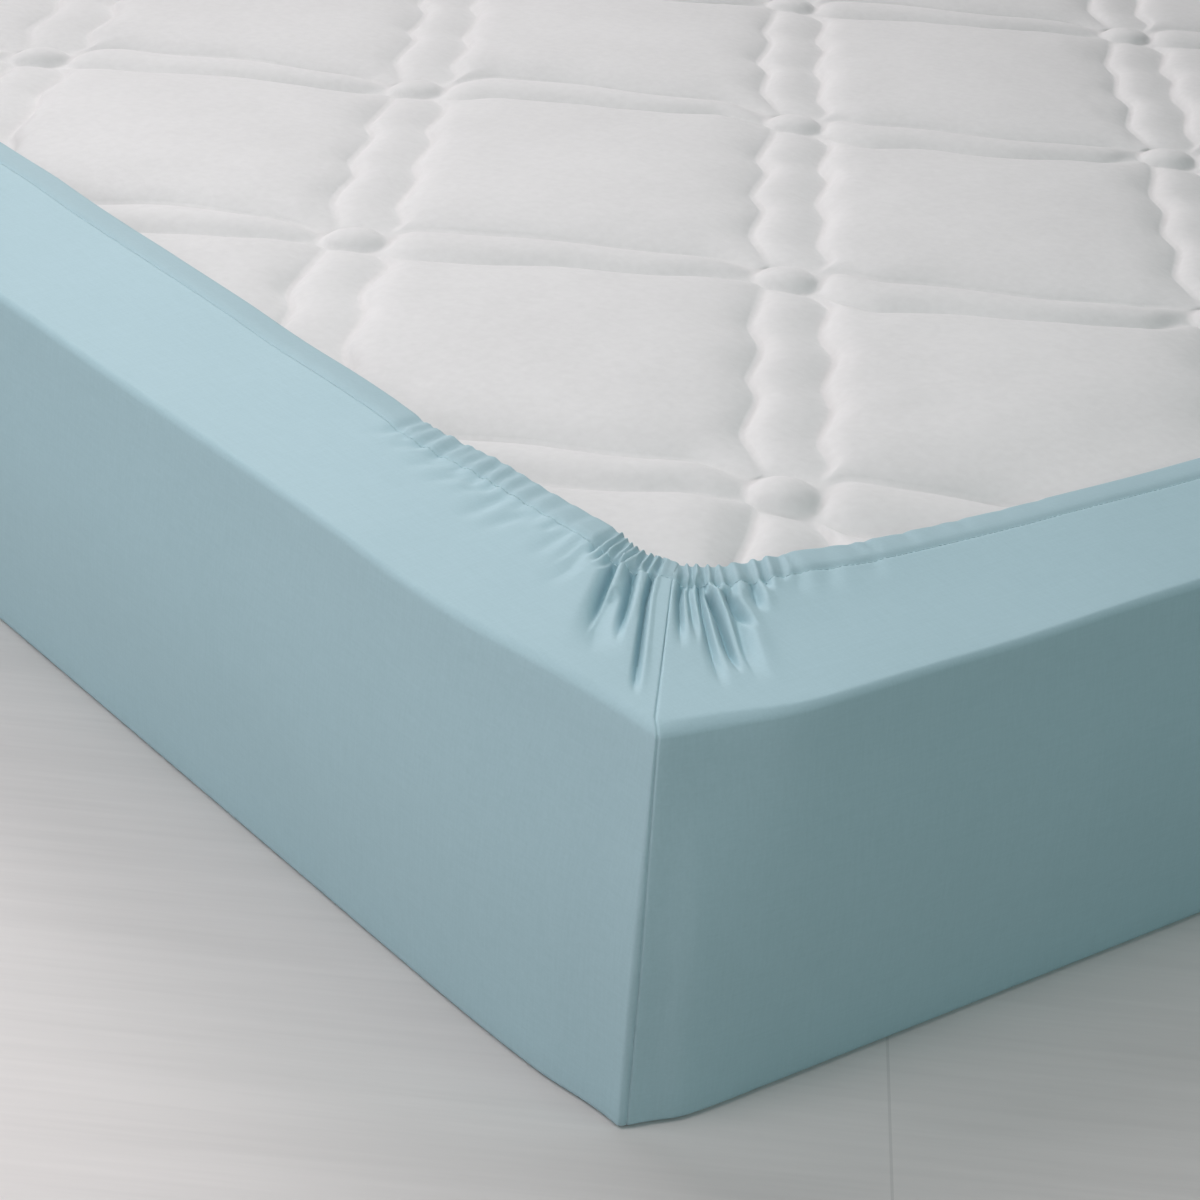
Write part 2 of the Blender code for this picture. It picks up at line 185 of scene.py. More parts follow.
# A crease is a soft trough in the flap, from the hem outwards, in corner coordinates.
# depth is its depth at the start; shade and lit are how wide it falls off on the side
# towards the long side of the bed and on the other; lasts is the share of its length
# over which it keeps its depth.
Crease = namedtuple("Crease", "start bend end depth shade lit lasts")
CREASES = tuple(Crease(*row) for row in (
    # Deep pleats that fan out from the corner, long side first
    ((0.094, 0.149), (0.072, 0.130), (0.034, 0.096), 0.0086, 0.0034, 0.0015, 0.38),
    ((0.068, 0.121), (0.048, 0.105), (0.027, 0.080), 0.0030, 0.0050, 0.0060, 0.40),
    ((0.095, 0.137), (0.083, 0.124), (0.043, 0.084), 0.0076, 0.0030, 0.0017, 0.42),
    ((0.098, 0.127), (0.082, 0.111), (0.013, 0.033), 0.0058, 0.0012, 0.0012, 0.50),
    ((0.108, 0.117), (0.096, 0.104), (0.066, 0.065), 0.0055, 0.0016, 0.0015, 0.40),
    ((0.108, 0.112), (0.102, 0.105), (0.075, 0.064), 0.0036, 0.0024, 0.0022, 0.45),
    ((0.112, 0.110), (0.101, 0.094), (0.060, 0.027), 0.0058, 0.0022, 0.0018, 0.45),
    ((0.110, 0.099), (0.102, 0.082), (0.076, 0.034), 0.0092, 0.0034, 0.0015, 0.50),
    ((0.119, 0.097), (0.113, 0.085), (0.108, 0.063), 0.0075, 0.0028, 0.0018, 0.40),
    ((0.113, 0.085), (0.091, 0.049), (0.078, 0.024), 0.0040, 0.0034, 0.0030, 0.40),
    ((0.134, 0.097), (0.130, 0.090), (0.119, 0.073), 0.0048, 0.0026, 0.0018, 0.35),
    # Tight pleats across the casing and a little beyond it, long side
    ((0.113, 0.172), (0.101, 0.167), (0.081, 0.160), 0.0039, 0.0030, 0.0012, 0.60),
    ((0.112, 0.166), (0.100, 0.161), (0.079, 0.152), 0.0034, 0.0020, 0.0010, 0.60),
    ((0.111, 0.161), (0.098, 0.154), (0.078, 0.145), 0.0039, 0.0021, 0.0010, 0.60),
    ((0.110, 0.156), (0.099, 0.151), (0.080, 0.144), 0.0032, 0.0018, 0.0010, 0.60),
    ((0.110, 0.151), (0.102, 0.147), (0.088, 0.142), 0.0034, 0.0017, 0.0009, 0.65),
    ((0.110, 0.146), (0.100, 0.139), (0.086, 0.129), 0.0039, 0.0018, 0.0009, 0.65),
    ((0.110, 0.141), (0.101, 0.134), (0.093, 0.127), 0.0034, 0.0017, 0.0009, 0.60),
    ((0.111, 0.136), (0.104, 0.130), (0.094, 0.121), 0.0030, 0.0016, 0.0009, 0.60),
    # Pleats across the casing, short side
    ((0.118, 0.130), (0.112, 0.121), (0.100, 0.105), 0.0039, 0.0016, 0.0010, 0.70),
    ((0.122, 0.128), (0.114, 0.118), (0.103, 0.103), 0.0034, 0.0016, 0.0010, 0.70),
    ((0.127, 0.126), (0.119, 0.115), (0.105, 0.096), 0.0034, 0.0018, 0.0011, 0.70),
    ((0.131, 0.123), (0.123, 0.112), (0.114, 0.097), 0.0032, 0.0020, 0.0012, 0.70),
    ((0.136, 0.121), (0.129, 0.110), (0.117, 0.089), 0.0028, 0.0026, 0.0016, 0.70),
    ((0.146, 0.117), (0.139, 0.106), (0.131, 0.090), 0.0025, 0.0030, 0.0018, 0.60),
    ((0.155, 0.117), (0.147, 0.105), (0.135, 0.086), 0.0034, 0.0022, 0.0012, 0.60),
    ((0.165, 0.116), (0.158, 0.105), (0.147, 0.090), 0.0018, 0.0026, 0.0016, 0.60),
    # Soft wrinkles that run from the casing into the flap, long side
    ((0.090, 0.247), (0.082, 0.251), (0.070, 0.257), 0.0014, 0.0040, 0.0030, 0.25),
    ((0.088, 0.234), (0.068, 0.230), (0.050, 0.230), 0.0017, 0.0050, 0.0036, 0.30),
    ((0.088, 0.212), (0.071, 0.213), (0.052, 0.214), 0.0014, 0.0050, 0.0036, 0.25),
    ((0.094, 0.209), (0.086, 0.206), (0.074, 0.202), 0.0012, 0.0036, 0.0026, 0.30),
    ((0.093, 0.195), (0.088, 0.194), (0.080, 0.192), 0.0014, 0.0026, 0.0018, 0.40),
    ((0.090, 0.184), (0.075, 0.180), (0.056, 0.173), 0.0015, 0.0044, 0.0034, 0.25),
    ((0.091, 0.174), (0.077, 0.168), (0.060, 0.162), 0.0013, 0.0038, 0.0030, 0.25),
    ((0.088, 0.166), (0.070, 0.155), (0.044, 0.148), 0.0015, 0.0044, 0.0034, 0.25),
    ((0.092, 0.265), (0.078, 0.268), (0.060, 0.273), 0.0013, 0.0042, 0.0034, 0.25),
    ((0.090, 0.284), (0.078, 0.288), (0.062, 0.292), 0.0012, 0.0042, 0.0034, 0.25),
    ((0.092, 0.308), (0.080, 0.311), (0.068, 0.315), 0.0012, 0.0040, 0.0034, 0.25),
    ((0.092, 0.326), (0.082, 0.330), (0.070, 0.335), 0.0012, 0.0040, 0.0034, 0.25),
    # Soft wrinkles beside the short side's pleats
    ((0.160, 0.096), (0.152, 0.086), (0.144, 0.074), 0.0009, 0.0040, 0.0034, 0.25),
    ((0.178, 0.094), (0.170, 0.085), (0.160, 0.072), 0.0008, 0.0044, 0.0036, 0.25),
    ((0.204, 0.092), (0.198, 0.084), (0.190, 0.072), 0.0006, 0.0044, 0.0036, 0.25),
))

# Gathers that cross the casing only, on a corner's long side and its short one: where
# they are along it at the casing's two edges, and a crease's depth, shade and lit
LONG_GATHERS = (
    (0.333, 0.327, 0.0021, 0.0036, 0.0024), (0.324, 0.316, 0.0014, 0.0030, 0.0022),
    (0.314, 0.303, 0.0023, 0.0042, 0.0026), (0.299, 0.288, 0.0026, 0.0046, 0.0024),
    (0.290, 0.279, 0.0014, 0.0032, 0.0024), (0.281, 0.270, 0.0019, 0.0040, 0.0026),
    (0.268, 0.254, 0.0023, 0.0044, 0.0024), (0.255, 0.243, 0.0017, 0.0038, 0.0020),
    (0.243, 0.231, 0.0010, 0.0036, 0.0026), (0.229, 0.218, 0.0011, 0.0044, 0.0030),
    (0.212, 0.203, 0.0007, 0.0044, 0.0030), (0.194, 0.187, 0.0006, 0.0040, 0.0028),
)
SHORT_GATHERS = (
    (0.171, 0.160, 0.0010, 0.0034, 0.0022), (0.192, 0.183, 0.0004, 0.0040, 0.0030),
    (0.207, 0.201, 0.0007, 0.0030, 0.0020), (0.217, 0.210, 0.0010, 0.0026, 0.0018),
    (0.241, 0.233, 0.0008, 0.0030, 0.0022), (0.262, 0.253, 0.0004, 0.0040, 0.0030),
    (0.276, 0.269, 0.0007, 0.0030, 0.0022), (0.305, 0.297, 0.0004, 0.0040, 0.0030),
    (0.332, 0.322, 0.0005, 0.0036, 0.0026),
)
GATHER_OVER = 0.006
GATHER_LASTS = 0.70

# The far corners have the same creases, wider and each moved and scaled a little
FAR_CREASE_WIDER = 1.7
FAR_CREASE_SHIFT = 0.0025
FAR_CREASE_SCALES = (0.6, 1.2)

# A crease widens along its length, and its crest is a share of its depth. It reaches no
# further than CREASE_REACH, and grows from none at the fold over these shares of the flap.
CREASE_WIDENS = 0.5
CREASE_REACH = 0.030
CREASES_START = (0.02, 0.15)
CREST_SHARE = 0.26
CREST_FALL = 0.9
SHADE_REACH = 2.1

# A deep crease has a narrow cut along its line, for a share of its depth
CUT_SHARE = 0.30
CUT_RUN = 0.0015
CUT_FROM = 0.0030
CUT_TO = 0.0060

# Depths over which a crease gets painted shade, from none to full: the cloth's colour is darkened in it
CREASE_SHADE_FROM = 0.0008
CREASE_SHADE_FULL = 0.0086
CREASE_SHADE_FULL_CASING = 0.0040

# Where creases meet, the deeper one holds: the higher the power, the more of it. A crest
# is gone where another crease is this deep.
CREASES_JOIN = 3.0
CREST_HELD = 0.0040

# The stitched casing holds the creases shallow, over these shares of the flap's rings, and
# its nose more so, from this ring of the casing on
CASING_HOLDS = (0.86, 1.0)
NOSE_FROM = 3

# The most that creases raise the cloth, and lower it on the flap and at the hem
CREST_MOST = 0.0060
DROP_MOST = 0.0150
HEM_DROP_MOST = 0.0029
NOSE_DROP_MOST = 0.0013
HEM_CREST_MOST = 0.0007

# ---------------- quilting

QUILT_TURN = radians(49.4)
QUILT_START = np.array((-0.472, -0.819))
ACROSS_AXIS = np.array((sin(QUILT_TURN), -cos(QUILT_TURN)))
ALONG_AXIS = np.array((cos(QUILT_TURN), sin(QUILT_TURN)))
CELL_ACROSS = 0.2612
CELL_ALONG = 0.3168
COLUMN_HALF = 0.0205
ROW_HALF = 0.0205

# A column's stitched line is a valley, steep on one side and gentle on the other. Bands
# narrow where they meet, and an oval button stands where they cross.
QUILT_DEPTH = 0.0084
STEEP_RUN = 0.0060
GENTLE_RUN = 0.0150
END_NARROWS = 0.24
END_AT = 0.004
END_RUN = 0.011
END_OVER = (-0.008, 0.002)
WARP_ENDS = 0.052

# A row band is a roll, wide at the start of each cell and narrow at its end. Some lie
# further along than their lattice line: by cell and row, at the cell's start and end.
ROW_WIDE = 0.0310
ROW_NARROW = 0.0165
ROW_WARP_ENDS = 0.115
ROW_FULL = 0.90
ROW_ROUNDNESS = 0.8
ROW_FAR_RUN = 0.0200
ROW_NEAR_RUN = 0.0110
ROW_WIDENS_OVER = (0.80 * COLUMN_HALF, COLUMN_HALF + 0.012)
ROW_SHIFTS_OVER = (0.95 * COLUMN_HALF, COLUMN_HALF + 0.036)
ROW_SHIFTS = {
    (-2, 1): (0.008, 0.010), (-2, 2): (0.010, 0.006),
    (-1, 0): (0.015, 0.010), (-1, 1): (0.001, 0.007), (-1, 2): (0.020, 0.017),
    (0, 0): (-0.006, -0.006), (0, 1): (-0.017, -0.015), (0, 2): (-0.015, -0.014),
    (1, 1): (-0.010, -0.006), (1, 2): (-0.012, -0.008),
}
BUTTON_ACROSS = 0.0200
BUTTON_ALONG = 0.0195
BUTTON_RUN = 0.38
BUTTON_FULL = 0.97
BAND_DROP = 0.0008
PANEL_CROWN = 0.0024
TOOTH_DEPTH = 0.0068
TEETH_PER_CELL = 4
TOOTH_PHASE = 0.52
TOOTH_RETURN = 0.34
ROW_SWAY = 0.0026
ROW_SWAY_LENGTH = 0.118
BAND_EDGE = (0.9, 1.1)

# Unevenness of the quilting. A tooth's and the depth's are shares of theirs.
WANDER_WAVES = Waves(0.22, 11, 0.0022)
TOOTH_WAVES = Waves(0.09, 12, 0.25)
SWAY_WAVES = Waves(0.15, 13, 0.0018)
DEPTH_WAVES = Waves(0.12, 14, 0.15)
ROW_WAVES = Waves(0.10, 17, 0.0016)
PUCKERS = Waves(0.050, 15, 0.00036)
FINE_PUCKERS = Waves(0.021, 16, 0.00008)
PATCHES = Waves(0.16, 18, 1.0)
PATCH_EDGE = (0.2, 1.0)
PATCH_GROWS = 3.75

# The face rises from under the hem to its middle, by distance from the bed's edge, and
# sinks under the hem at its corners
FACE_Z = 0.1965
HEM_RISE = 0.0040
HEM_RISE_OVER = (0.090, 0.112)
FACE_RISE = 0.0055
FACE_RISE_OVER = (0.110, 0.200)
QUILT_STARTS = (0.085, 0.125)
CORNER_SINK = 0.0110
SINK_AT = 0.085
SINK_RUN = 0.060
SINK_ENDS = (0.096, 0.112)
FACE_CLIP = 0.082
FACE_SPARE = 0.012
SPARE_CELLS = 3

# Spacing of the face's grid from a band's middle: up to this distance, this step
QUILT_GRADES_ACROSS = ((COLUMN_HALF, 0.0028), (0.042, 0.0032), (0.062, 0.0054), (0.1306, 0.012))
QUILT_GRADES_ALONG = ((ROW_HALF, 0.0028), (0.042, 0.0033), (0.1584, 0.0068))

# The mattress's own sides, hidden by the sheet: inset, height and plan corner
MATTRESS_SIDES = (
    (0.060, 0.1925, 0.080), (0.030, 0.1875, 0.090), (0.014, 0.1850, 0.100),
    (0.0075, 0.178, 0.110), (0.0050, 0.168, 0.110), (0.0025, 0.100, 0.110),
    (0.0045, 0.018, 0.100), (0.0120, 0.0035, 0.090), (0.0300, 0.0018, 0.080),
)

# ---------------- thread

THREAD = 0.00022
STITCH_LENGTH = 0.0026
STITCH_STEP = 0.0036
STITCH_SIDES = 5
STITCH_BEND = 0.00010
STITCH_LIFT = 0.4
STITCH_END = 0.45
STITCH_SHAPE = ((-1.0, 0.35), (-0.5, 1.0), (0.5, 1.0), (1.0, 0.35))

# ---------------- camera and light

CAMERA_PLACE = Vector((-1.4165, -1.8370, 0.8050))
CAMERA_DOWN = radians(25.971)
CAMERA_YAW = radians(50.867)
CAMERA_ROLL = radians(4.655)
SENSOR = 36.0
LENS = 90.257
CLIP_START = 0.05

# Soft round lamps round a point near the corner. azimuth is from +X towards +Y, and power
# is in watts. The lamps behind are a little warm, and the fill in front is cool.
LIT_POINT = Vector((0.35 - BED_W / 2, 0.40 - BED_L / 2, 0.15))
WARM = (1.0, 0.955, 0.97)
COOL = (0.66, 1.0, 0.97)
PLAIN = (1.0, 0.97, 1.0)
PALE_BLUE = (0.94, 0.96, 1.0)
Lamp = namedtuple("Lamp", "name azimuth elevation distance size power colour")
LAMPS = (
    Lamp("key", 70.0, 30.0, 3.6, 1.4, 69.0, WARM),
    Lamp("near", 112.0, 68.0, 1.32, 0.8, 4.9, WARM),
    Lamp("side", 197.0, 50.0, 1.9, 1.0, 11.9, WARM),
    Lamp("low", 165.0, 12.0, 1.9, 0.8, 5.5, PALE_BLUE),
    Lamp("front", 240.0, 25.0, 2.6, 1.2, 4.7, PLAIN),
    Lamp("fill", 284.0, 27.0, 2.5, 1.2, 6.8, COOL),
)
SURROUND = 0.01
FLOOR_HALF = 6.0
FLOOR_Z = -0.0002


def smooth(low, high, value):
    """0 below low, 1 above high, and a soft ramp between."""
    t = np.clip((value - low) / (high - low), 0.0, 1.0)
    return t * t * (3.0 - 2.0 * t)


def bell(value, width):
    return np.exp(-((value / width) ** 2))


def mix(a, b, share):
    return a + (b - a) * share


def ripples(points, *waves):
    """Soft unevenness at points: the sum of some waves, each a few sines in all directions."""
    total = np.zeros(len(points))
    for wave in waves:
        rng = np.random.default_rng(wave.seed)
        for _ in range(RIPPLES):
            direction = rng.normal(size=points.shape[1])
            length = wave.length * rng.uniform(*RIPPLE_LENGTHS)
            direction *= 2 * pi / (np.linalg.norm(direction) * length)
            total += wave.height * np.sin(points @ direction + rng.uniform(0, 2 * pi))
    return total / RIPPLES ** 0.5 / RIPPLE_TOP


def grid_quads(numbers, following):
    """The faces between a grid's rows, by point numbers and those of the next column."""
    corners = (numbers[:-1], following[:-1], following[1:], numbers[1:])
    return np.stack(corners, axis=-1).reshape(-1, 4)


def add_object(name, data):
    obj = bpy.data.objects.new(name, data)
    bpy.context.collection.objects.link(obj)
    return obj


def add_mesh(name, bm, material):
    """A smooth-shaded object of a finished mesh."""
    for face in bm.faces:
        face.smooth = True
    mesh = bpy.data.meshes.new(name)
    bm.to_mesh(mesh)
    bm.free()
    mesh.materials.append(material)
    return add_object(name, mesh)


# ---------------- sheet


def graded_ways(length, grades):
    """Distances from 0 to length, in steps that widen as the grades say."""
    places = [0.0]
    for until, step in grades:
        end = min(until, length)
        count = max(1, round((end - places[-1]) / step))
        places.extend(np.linspace(places[-1], end, count + 1)[1:])
        if end == length:
            break
    return np.array(places)


def column_shares(corner):
    """Places of a corner's columns: -1 at its long side's middle, 0 at the seam, 1 at the short's."""
    grades = NEAR_GRADES if corner is NEAR_CORNER else FAR_GRADES
    short, long = (graded_ways(half, grades) / half for half in BED_HALVES)
    return np.concatenate([-long[:0:-1], short])


def rounded_path(turn, inset_x, inset_y, round_x, round_y):
    """A ring's plan round a corner: x, y and the way from the seam, from middle to middle."""
    turns = np.linspace(0.0, pi / 2, ARC_STEPS + 1)
    x = np.concatenate([[inset_x], inset_x + round_x * (1 - np.cos(turns)), [BED_W / 2]])
    y = np.concatenate([[BED_L / 2], inset_y + round_y * (1 - np.sin(turns)), [inset_y]])
    way = np.concatenate([[0.0], np.cumsum(np.hypot(np.diff(x), np.diff(y)))])
    return x, y, way - np.interp(turn, turns, way[1:-1])


class Ring:
    """One ring of the sheet round one corner, as corner coordinates of its columns."""

    def __init__(self, x, y, z, way):
        self.x, self.y, self.z, self.way = x, y, z, way
        # The painted shade of each column, which darkens the cloth's colour in creases
        self.crease_shade = np.zeros(len(x))

    def between(self, other, share):
        """The ring a share of the way from this one to another."""
        places = zip((self.x, self.y, self.z, self.way), (other.x, other.y, other.z, other.way))
        return Ring(*(mix(a, b, share) for a, b in places))


def plan_ring(turn, shares, insets, rounds, extra, height):
    """A ring of the given insets, plan rounding and height; extra moves it in by column."""
    x, y, way = rounded_path(turn, *insets, *rounds)
    wanted = np.where(shares < 0, -shares * way[0], shares * way[-1])
    ring_x = np.interp(wanted, way, x) + np.where(shares < 0, extra, 0.0)
    ring_y = np.interp(wanted, way, y) + np.where(shares > 0, extra, 0.0)
    return Ring(ring_x, ring_y, height + np.zeros(len(shares)), wanted)


def corner_reach(corner, way, share):
    """1 at the seam, falling off along the two sides over a share of the corner's runs."""
    run = np.where(way < 0, corner.run_y, corner.run_x) * share
    return np.exp(-np.abs(way / run) ** PULL_POWER)


def gathered_shares(corner, shares):
    """Where each column meets the hem: the elastic draws the columns towards the seam."""
    half = np.where(shares < 0, BED_L / 2, BED_W / 2)
    way = np.abs(shares) * half
    taken = GATHER * (1 - np.exp(-((way / GATHER_RUN) ** GATHER_POWER))) * (1 - np.abs(shares))
    return np.sign(shares) * (way - taken) / half


def hem_extra(corner, shares):
    """How much further in the hem lies than it does beside the seam."""
    if corner is NEAR_CORNER:
        long_side = np.interp(np.abs(shares) * BED_L / 2, *zip(*NEAR_HEM_LONG))
        short_side = np.interp(np.abs(shares) * BED_W / 2, *zip(*NEAR_HEM_SHORT))
    else:
        widening = smooth(*HEM_WIDENS, np.abs(shares))
        long_side = (HEM_MIDDLE_X[corner.signs[0]] - corner.hem_x) * widening
        short_side = (HEM_MIDDLE_Y[corner.signs[1]] - corner.hem_y) * widening
    return np.where(shares < 0, long_side, short_side)


def wall_rings(corner, shares):
    """Rings from the floor panel up to the end of the fold at the top."""
    way = np.where(shares < 0, BED_L / 2, BED_W / 2) * shares
    reach, foot_reach = corner_reach(corner, way, 1.0), corner_reach(corner, way, FOOT_RUN)
    fold = mix(FOLD_ROLL, FOLD_ROLL_CORNER, bell(way, FOLD_CORNER_RUN))
    top = FOLD_TOP - CORNER_DROP * bell(way, CORNER_DROP_RUN)
    top_inset = mix(*TOP_INSETS, smooth(*TOP_INSETS_OVER, np.abs(way))) * (1 - reach)
    shift = NEAR_SHIFT if corner is NEAR_CORNER else 0.0

    def ring(lean, inset, height, grow):
        """lean mixes the foot's pull with the edge's; inset is the section's own."""
        foot = corner.foot * foot_reach - FOOT_OUT * (1 - foot_reach)
        pull = mix(foot, corner.pull * reach, lean)
        inset = inset + lean * top_inset + pull
        inset = inset + shift * bell(way, NEAR_SHIFT_RUN) * (way < 0)
        base = np.interp(0.0, shares[shares >= 0], inset[shares >= 0])
        bases = np.where(shares < 0, base + shift, base)
        rounds = (corner.round_x + FOLD_GROWS[0] * grow, corner.round_y + FOLD_GROWS[1] * grow)
        turn = mix(*corner.turns[:2], lean)
        return plan_ring(turn, shares, (base + shift, base), rounds, inset - bases, height)

    rings = [ring(0.0, PANEL_INSET, 0.0, 0.0)]
    for angle in np.linspace(0, pi / 2, FOOT_RINGS):
        rings.append(ring(0.0, FLOOR_ROLL * (1 - sin(angle)), FLOOR_ROLL * (1 - cos(angle)), 0.0))
    for t in np.linspace(0, 1, WALL_RINGS + 2)[1:-1]:
        bulge = WALL_BULGE * (4 * t * (1 - t)) ** 2 * (1 - BULGE_SPARED * reach)
        lean = LEAN_MOST * smooth(*LEAN_OVER, t)
        rings.append(ring(lean, -bulge, mix(FLOOR_ROLL, top - fold, t), 0.0))
    for angle in np.linspace(0, pi / 2 - FLAP_SLOPE, FOLD_RINGS):
        grow = FOLD_GROWTH * (1 - cos(angle))
        lean = mix(LEAN_MOST * smooth(*LEAN_OVER, 1.0), 1.0, smooth(0.0, pi / 3, angle))
        rings.append(ring(lean, fold * (1 - cos(angle)), top - fold * (1 - sin(angle)), grow))
    return rings


def flap_rings(corner, shares, edge):
    """Rings from the fold to the hem's turned-under edge."""
    hem_shares = gathered_shares(corner, shares)
    extra = hem_extra(corner, hem_shares)

    def hem_ring(behind, height):
        insets = (corner.hem_x - behind, corner.hem_y - behind)
        rounds = (HEM_ROUND + behind, HEM_ROUND + behind)
        return plan_ring(corner.turns[2], hem_shares, insets, rounds, extra, height)

    stitch = hem_ring(CASING_W, STITCH_Z)
    rings = []
    for t in np.linspace(0, 1, FLAP_RINGS + 1)[1:]:
        rings.append(edge.between(stitch, 1 - (1 - t) ** FLAP_CLOSES_UP))
    for place in CASING_PLACES:
        fall = CASING_FALL * place ** CASING_FALL_POWER
        lift = CASING_LIFT * smooth(0.0, CASING_RISE, place) - fall
        rings.append(hem_ring(CASING_W * (1 - place), STITCH_Z + lift))
    nose = STITCH_Z + CASING_LIFT - CASING_FALL - HEM_HALF
    for turn in HEM_TURNS:
        out = HEM_HALF * sin(radians(turn))
        rings.append(hem_ring(HEM_HALF - out, nose + HEM_HALF * cos(radians(turn))))
    rings.append(hem_ring(HEM_TUCK, nose - HEM_HALF))
    return rings


def crease_drop(x, y, crease, depth, wider):
    """How far a crease lowers the cloth at corner coordinates x, y.

    The cloth falls gently on the crease's shaded side, and rises steeply on the other
    to a crest that stands above it and dies away.
    """
    line = [np.array(p) for p in crease[:3]]
    lengths = [np.linalg.norm(b - a) for a, b in zip(line, line[1:])]
    best, side, along = np.full(x.shape, np.inf), np.zeros(x.shape), np.zeros(x.shape)
    for n, (a, b) in enumerate(zip(line, line[1:])):
        step = (b - a) / lengths[n]
        t = np.clip((x - a[0]) * step[0] + (y - a[1]) * step[1], 0.0, lengths[n])
        away_x, away_y = x - a[0] - t * step[0], y - a[1] - t * step[1]
        away = np.hypot(away_x, away_y)
        nearer = away < best
        best = np.where(nearer, away, best)
        side = np.where(nearer, np.sign(step[0] * away_y - step[1] * away_x), side)
        along = np.where(nearer, (t + sum(lengths[:n])) / sum(lengths), along)
    fade = 1 - smooth(crease.lasts, 1.0, along)
    spread = wider * (1 + CREASE_WIDENS * along)
    shade, rise = crease.shade * spread, 2 * crease.lit * spread
    shaded = (1 - np.clip(best / (SHADE_REACH * shade), 0.0, 1.0)) ** 2
    crest = CREST_SHARE * bell(np.maximum(best - rise, 0.0), CREST_FALL * (shade + rise) / 2)
    lit = 1 - (1 + crest) * smooth(0.0, 1.0, best / rise)
    cut = CUT_SHARE * smooth(CUT_FROM, CUT_TO, depth)
    slope = np.where(side > 0, lit, shaded)
    return depth * fade * ((1 - cut) * slope + cut * np.exp(-best / (CUT_RUN * wider)))


def gather_creases(gathers, inset, on_short):
    """One side's gathers as creases across the hem's band, which ends at this inset."""
    inner, outer = inset + GATHER_OVER, inset - CASING_W - GATHER_OVER
    for hem, stitch, *sizes in gathers:
        line = [(inner, hem), ((inner + outer) / 2, (hem + stitch) / 2), (outer, stitch)]
        if on_short:
            line = [(y, x) for x, y in line]
        yield Crease(*line, *sizes, GATHER_LASTS)


def corner_creases(corner):
    """Creases as this corner wears them, with their scales: moved a little at the far ones."""
    on_long = gather_creases(LONG_GATHERS, corner.hem_x, False)
    on_short = gather_creases(SHORT_GATHERS, corner.hem_y, True)
    creases = [*CREASES, *on_long, *on_short]
    if corner is NEAR_CORNER:
        return [(crease, 1.0) for crease in creases]
    rng = np.random.default_rng(CORNERS.index(corner))
    worn = []
    for crease in creases:
        shift, scale = rng.normal(0, FAR_CREASE_SHIFT, 2), rng.uniform(*FAR_CREASE_SCALES)
        line = [np.array(p) + shift for p in crease[:3]]
        widths = [crease.shade, crease.lit]
        if corner.swap:
            line, widths = [p[::-1] for p in line], widths[::-1]
        worn.append((Crease(*line, crease.depth, *widths, crease.lasts), scale))
    return worn


def crease_flap(corner, rings):
    """Lifts the flap's and hem's rings at the gathers, and presses their creases in."""
    x, y, z, way = np.array([(r.x, r.y, r.z, r.way) for r in rings]).transpose(1, 0, 2)
    wider = 1.0 if corner is NEAR_CORNER else FAR_CREASE_WIDER
    across = np.minimum(np.arange(len(rings)) / FLAP_RINGS, 1.0)[:, None]
    z += GATHER_LIFT * bell(way, GATHER_LIFT_RUN) * smooth(*GATHER_LIFT_OVER, across)
    lowered, raised = np.zeros(x.shape), np.zeros(x.shape)
    for crease, scale in corner_creases(corner):
        line = np.array(crease[:3])
        low, high = line.min(0) - CREASE_REACH, line.max(0) + CREASE_REACH
        inside = (x > low[0]) & (x < high[0]) & (y > low[1]) & (y < high[1])
        drop = crease_drop(x[inside], y[inside], crease, crease.depth * scale * corner.crease, wider)
        lowered[inside] += np.maximum(drop, 0.0) ** CREASES_JOIN
        raised[inside] = np.maximum(raised[inside], -drop)
    lowered = lowered ** (1 / CREASES_JOIN)
    total = lowered - raised * (1 - smooth(0.0, CREST_HELD, lowered))
    on_casing = smooth(*CASING_HOLDS, across)
    after_stitch = np.arange(len(rings))[:, None] - FLAP_RINGS
    on_nose = smooth(NOSE_FROM, len(CASING_PLACES), after_stitch)
    most = mix(DROP_MOST, mix(HEM_DROP_MOST, NOSE_DROP_MOST, on_nose), on_casing)
    crest_most = mix(CREST_MOST, HEM_CREST_MOST, on_casing)
    limit = np.where(total > 0, most, crest_most)
    total = limit * np.tanh(total / limit)
    z -= total * smooth(*CREASES_START, across)
    # Painted shade: the deeper a crease is here, the darker the cloth's colour is painted
    crease_shade = smooth(CREASE_SHADE_FROM, mix(CREASE_SHADE_FULL, CREASE_SHADE_FULL_CASING, on_casing), total)
    for n, ring in enumerate(rings):
        ring.z, ring.crease_shade = z[n], crease_shade[n]


def groove_seam(rings, wall_count):
    """Presses the corner seam in as a groove, through the walls and the flap."""
    for n, ring in enumerate(rings):
        press = SEAM_DEPTH * np.exp(-np.abs(ring.way / SEAM_HALF) ** SEAM_POWER)
        flat = smooth(wall_count - FOLD_RINGS, wall_count, n)
        inward = SEAM_INWARD * press * (1 - flat)
        ring.x, ring.y, ring.z = ring.x + inward, ring.y + inward, ring.z - press * flat


def corner_rings(corner):
    """All rings round one corner, and the number of the stitch ring."""
    shares = column_shares(corner)
    walls = wall_rings(corner, shares)
    flap = flap_rings(corner, shares, walls[-1])
    crease_flap(corner, flap)
    groove_seam(walls[1:] + flap[:FLAP_RINGS], len(walls))
    rings = walls + flap
    stitch_number = len(walls) + FLAP_RINGS - 1
    for place, share in STITCH_DIPS:
        ring = rings[stitch_number + place]
        ring.z = ring.z - STITCH_DIP * share
    return rings, stitch_number


def world_ring(corner, ring):
    sign_x, sign_y = corner.signs
    return np.stack([sign_x * (BED_W / 2 - ring.x), sign_y * (BED_L / 2 - ring.y), ring.z], axis=1)


